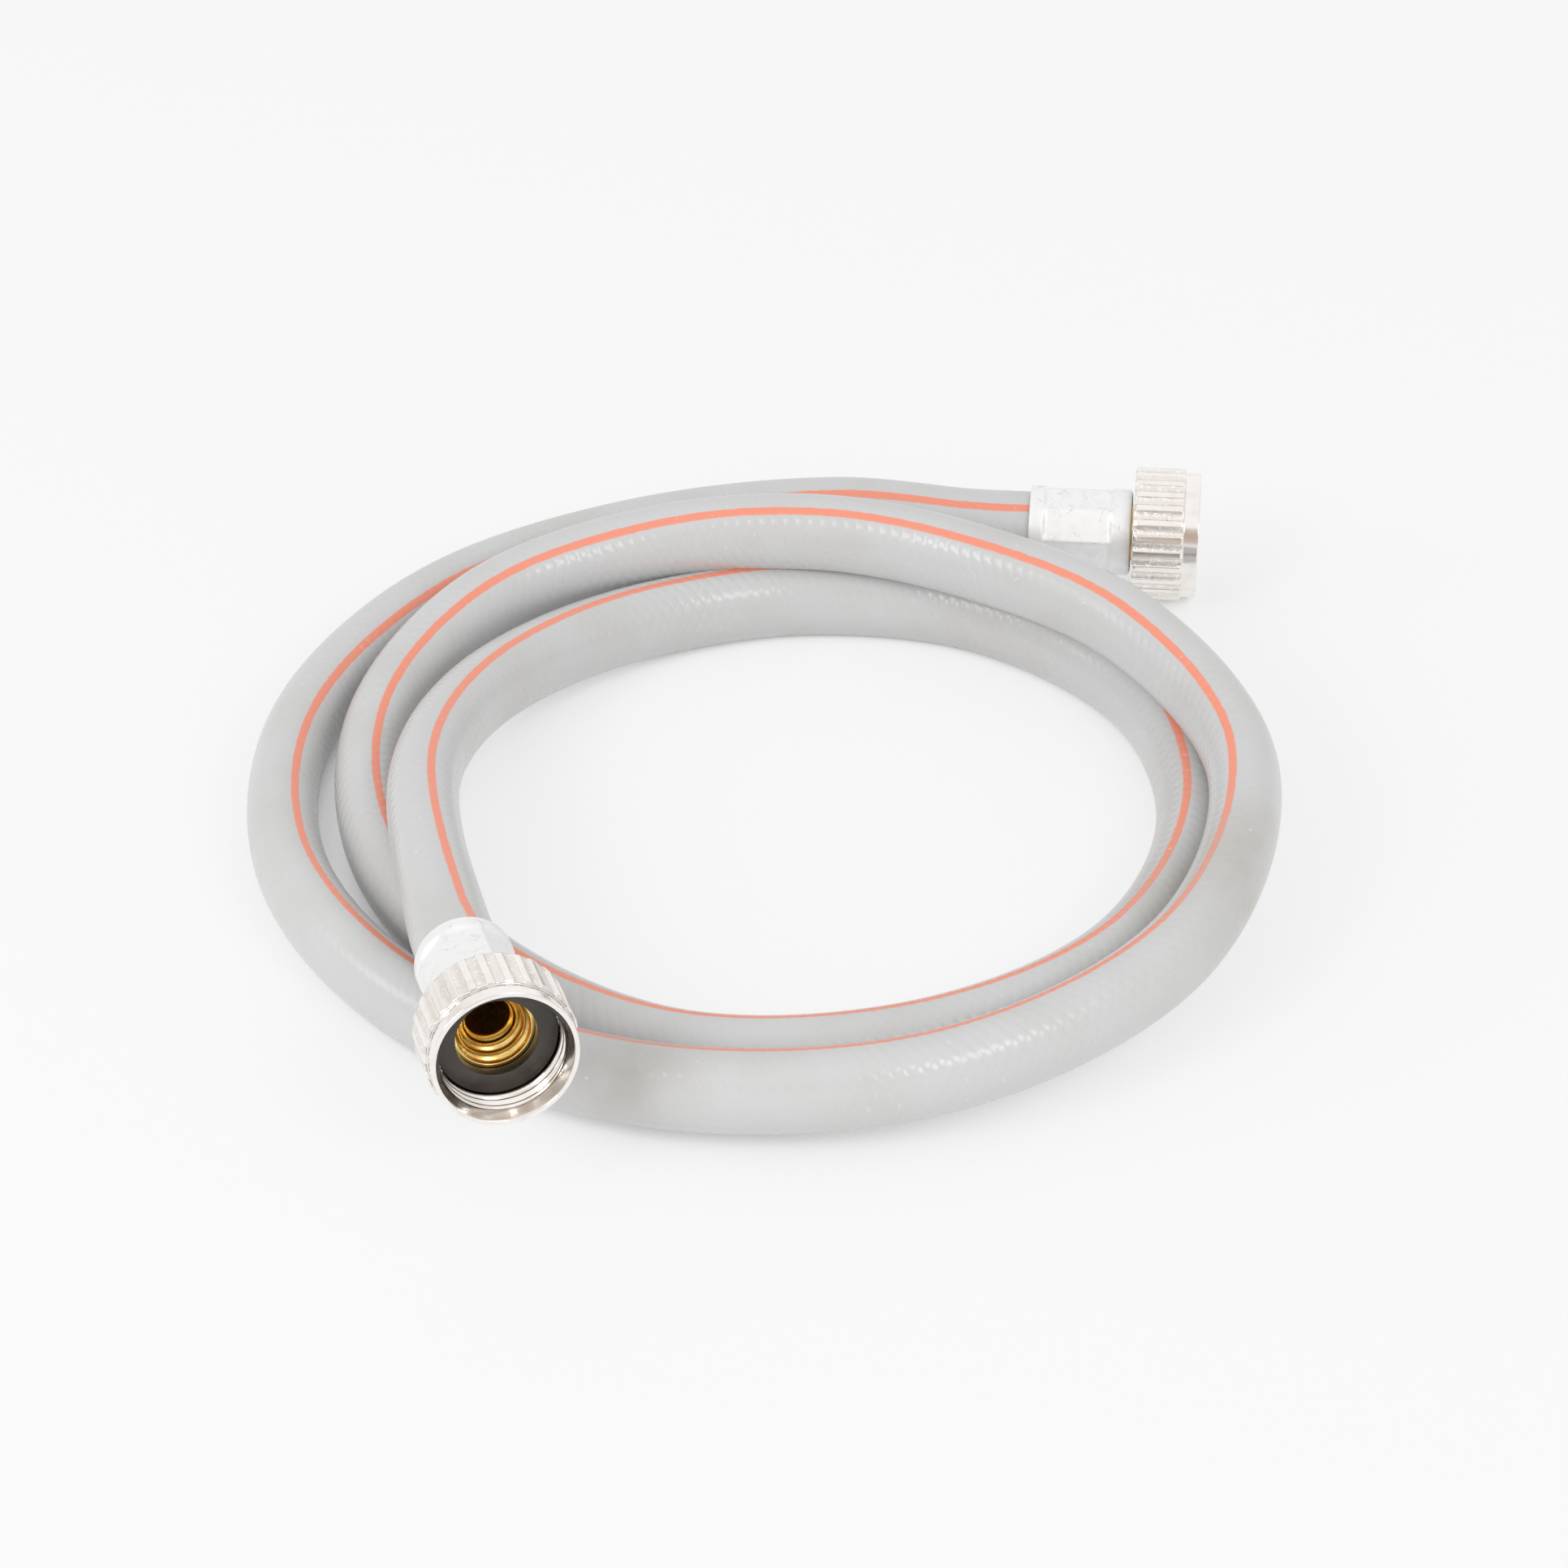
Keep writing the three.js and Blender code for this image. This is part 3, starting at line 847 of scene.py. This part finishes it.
def washer_rubber():
    rubber = new_finish("washer_rubber")
    place = rubber.place()
    dusted = rubber.rise(rubber.grain(place, 130.0, 2.0), 0.4, 0.7)
    weave = rubber.grain(place, 2400.0)
    turned = {"Vector": place, "Rotation": SHEEN_STREAK_TURN, "Scale": SHEEN_STREAK_STRETCH}
    streaks = rubber.grain(rubber.node("ShaderNodeMapping", {}, turned), 700.0, 3.0)
    sheen_patches = rubber.rise(rubber.grain(place, 150.0), 0.45, 0.65)
    # painted sheen: pale streaks painted into the colour, where the rubber is also rougher
    painted_sheen_streaks = rubber.rise(streaks, 0.6, 0.75) * sheen_patches
    dull = rubber.blend(dusted * 0.6, RUBBER_BLACK, RUBBER_DUSTED)
    return rubber.surface({
        "Base Color": rubber.blend(painted_sheen_streaks * 0.7, dull, RUBBER_PAINTED_SHEEN),
        "Roughness": dusted * 0.12 + painted_sheen_streaks * 0.2 + 0.26,
        "Normal": rubber.bump(weave, WEAVE_DEPTH),
    })


washers = {
    end: turned_piece(f"{end}_rubber_washer", end, WASHER_SECTION, round_angles) for end in ENDS
}
rubber = washer_rubber()
for washer in washers.values():
    washer.data.materials.append(rubber)

# %% [markdown]
# ## What moves with what
#
# In use the sleeve is held still while the nut is turned, and the washer turns with the nut.
# Each piece here rides on the body that its solid belongs to, and stands for that solid, which
# is then hidden.

# %% Bodies
for end in ENDS:
    for piece, body, node, finish in [
        (nuts[end], f"{end}_nut", f"{end}_nut", "nut_metal"),
        (washers[end], f"{end}_nut", f"{end}_washer", "washer_rubber"),
        (sleeves[end], "hose", f"{end}_ferrule", "ferrule_metal"),
        (tails[end], "hose", f"{end}_insert", "insert_brass"),
    ]:
        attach(piece, body)
        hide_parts(node)
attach(hose, "hose")
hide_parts("hose")

# %% [markdown]
# ## The table
#
# The object lies on a plain white table that runs on behind it without an edge, and a large
# flat plane is enough. The picture is exposed so high that the table is close to white all over.
# More light would burn out the hose, so the table is mixed with an even white wherever the
# camera or a mirror looks at it. Its own paint keeps the soft shadow and still lights the hose.
# The even white fades where the strands close in, so that the gaps stay in shade: an Ambient
# Occlusion node says how open each place is.

# %% Table
TABLE_SIZE = 12.0
TABLE_WHITE = paint(242, 242, 242)
TABLE_GLOW = paint(255, 255, 255)
GLOW_SHARE = 0.66
GAP_REACH = 0.025
GAP_SAMPLES = 8
GAP_CLOSED = 0.02
GAP_OPEN = 0.3
GAP_KEEPS = 0.2

table_mesh = bpy.data.meshes.new("table")
half = TABLE_SIZE / 2
table_corners = [(-half, -half, 0), (half, -half, 0), (half, half, 0), (-half, half, 0)]
table_mesh.from_pydata(table_corners, [], [(0, 1, 2, 3)])
table = bpy.data.objects.new("table", table_mesh)
bpy.context.scene.collection.objects.link(table)


def looked_at(finish):
    """1 where the camera, a mirror or glass looks at the surface, and 0 for its light on others."""
    kinds = ("Is Camera Ray", "Is Glossy Ray", "Is Transmission Ray")
    rays = [finish.node("ShaderNodeLightPath", output=kind) for kind in kinds]
    return finish.maths("MINIMUM", rays[0] + rays[1] + rays[2], 1.0)


def table_paint():
    top = new_finish("table_paint")
    matt = top.node("ShaderNodeBsdfDiffuse", {}, {"Color": TABLE_WHITE})
    glow = top.node("ShaderNodeEmission", {}, {"Color": TABLE_GLOW, "Strength": 1.0})
    reach = {"Distance": GAP_REACH}
    openness = top.node("ShaderNodeAmbientOcclusion", {"samples": GAP_SAMPLES}, reach, output="AO")
    kept = top.rise(openness, GAP_CLOSED, GAP_OPEN) * (1 - GAP_KEEPS) + GAP_KEEPS
    share = looked_at(top) * kept * GLOW_SHARE
    mixed = top.node("ShaderNodeMixShader", {}, {0: share, 1: matt, 2: glow})
    top.node("ShaderNodeOutputMaterial", {}, {"Surface": mixed})
    return top.owner


table.data.materials.append(table_paint())

# %% [markdown]
# ## The light
#
# The picture was taken in a bright white room, with a soft box on either side of the camera and
# a weaker one low on the left. The world gives the even light of the room, a little stronger from
# the front. Square area lamps give the beads of light on the hose: their directions are read off
# the highlights, because a highlight lies where the surface faces halfway between the lamp and
# the camera. Mirror rays meet a white world with greyer walls at the sides and one dim, brownish
# side behind the camera, where the room is open. Polished metal needs such dark places to
# reflect, or it looks like chalk.

# %% World
ROOM_LIGHT = 0.88
ROOM_FRONT = paint(255, 255, 255)
ROOM_BACK = paint(222, 222, 222)
ROOM_WHITE = paint(252, 252, 252)
ROOM_WALLS = paint(228, 226, 224)
ROOM_OPEN_SIDE = paint(188, 172, 158)
OPEN_SIDE_AT = Vector((0.1, -0.86, 0.5)).normalized()
OPEN_SIDE_FADE = (0.92, 0.99)
WALLS_FADE = (0.35, 0.9)
FRONT_TO_BACK = (-0.8, 0.8)


def room():
    world = bpy.data.worlds.new("white_room")
    sky = Finish(world)
    direction = sky.node("ShaderNodeTexCoord", output="Generated")
    sides = {0: direction, 1: OPEN_SIDE_AT}
    facing = sky.node("ShaderNodeVectorMath", {"operation": "DOT_PRODUCT"}, sides, output="Value")
    sideways = sky.node("ShaderNodeSeparateXYZ", {}, {"Vector": direction}, output="X")
    mirrored = 1 - sky.node("ShaderNodeLightPath", output="Is Camera Ray")
    beside = sky.rise(sky.maths("ABSOLUTE", sideways), *WALLS_FADE) * mirrored
    walls = sky.blend(beside, ROOM_WHITE, ROOM_WALLS)
    behind = sky.rise(facing, *OPEN_SIDE_FADE) * mirrored
    seen_colour = sky.blend(behind, walls, ROOM_OPEN_SIDE)
    seen = sky.node("ShaderNodeBackground", {}, {"Color": seen_colour})
    ahead = sky.node("ShaderNodeSeparateXYZ", {}, {"Vector": direction}, output="Y")
    room_colour = sky.blend(sky.rise(ahead, *FRONT_TO_BACK), ROOM_FRONT, ROOM_BACK)
    lit = {"Color": room_colour, "Strength": ROOM_LIGHT}
    lighting = sky.node("ShaderNodeBackground", {}, lit)
    mixed = sky.node("ShaderNodeMixShader", {}, {0: looked_at(sky), 1: lighting, 2: seen})
    sky.node("ShaderNodeOutputWorld", {}, {"Surface": mixed})
    return world


bpy.context.scene.world = room()
bpy.context.scene.view_settings.view_transform = "Standard"

# %% Soft boxes, each with its direction and its power in watts
BOX_SIZE = 0.4
BOX_DISTANCE = 1.5
BOXES = {
    "right_soft_box": ((0.45, -0.60, 0.66), 2.7),
    "left_soft_box": ((-0.60, -0.49, 0.63), 3.2),
    "side_soft_box": ((-0.90, -0.08, 0.42), 1.2),
}

for name, (direction, power) in BOXES.items():
    lamp_data = bpy.data.lights.new(name, "AREA")
    lamp_data.shape = "SQUARE"
    lamp_data.size = BOX_SIZE
    lamp_data.energy = power
    lamp = bpy.data.objects.new(name, lamp_data)
    away = Vector(direction).normalized()
    lamp.location = away * BOX_DISTANCE
    lamp.rotation_euler = away.to_track_quat("Z", "Y").to_euler()
    bpy.context.scene.collection.objects.link(lamp)
    print(name, "stands at", [round(x, 2) for x in lamp.location])
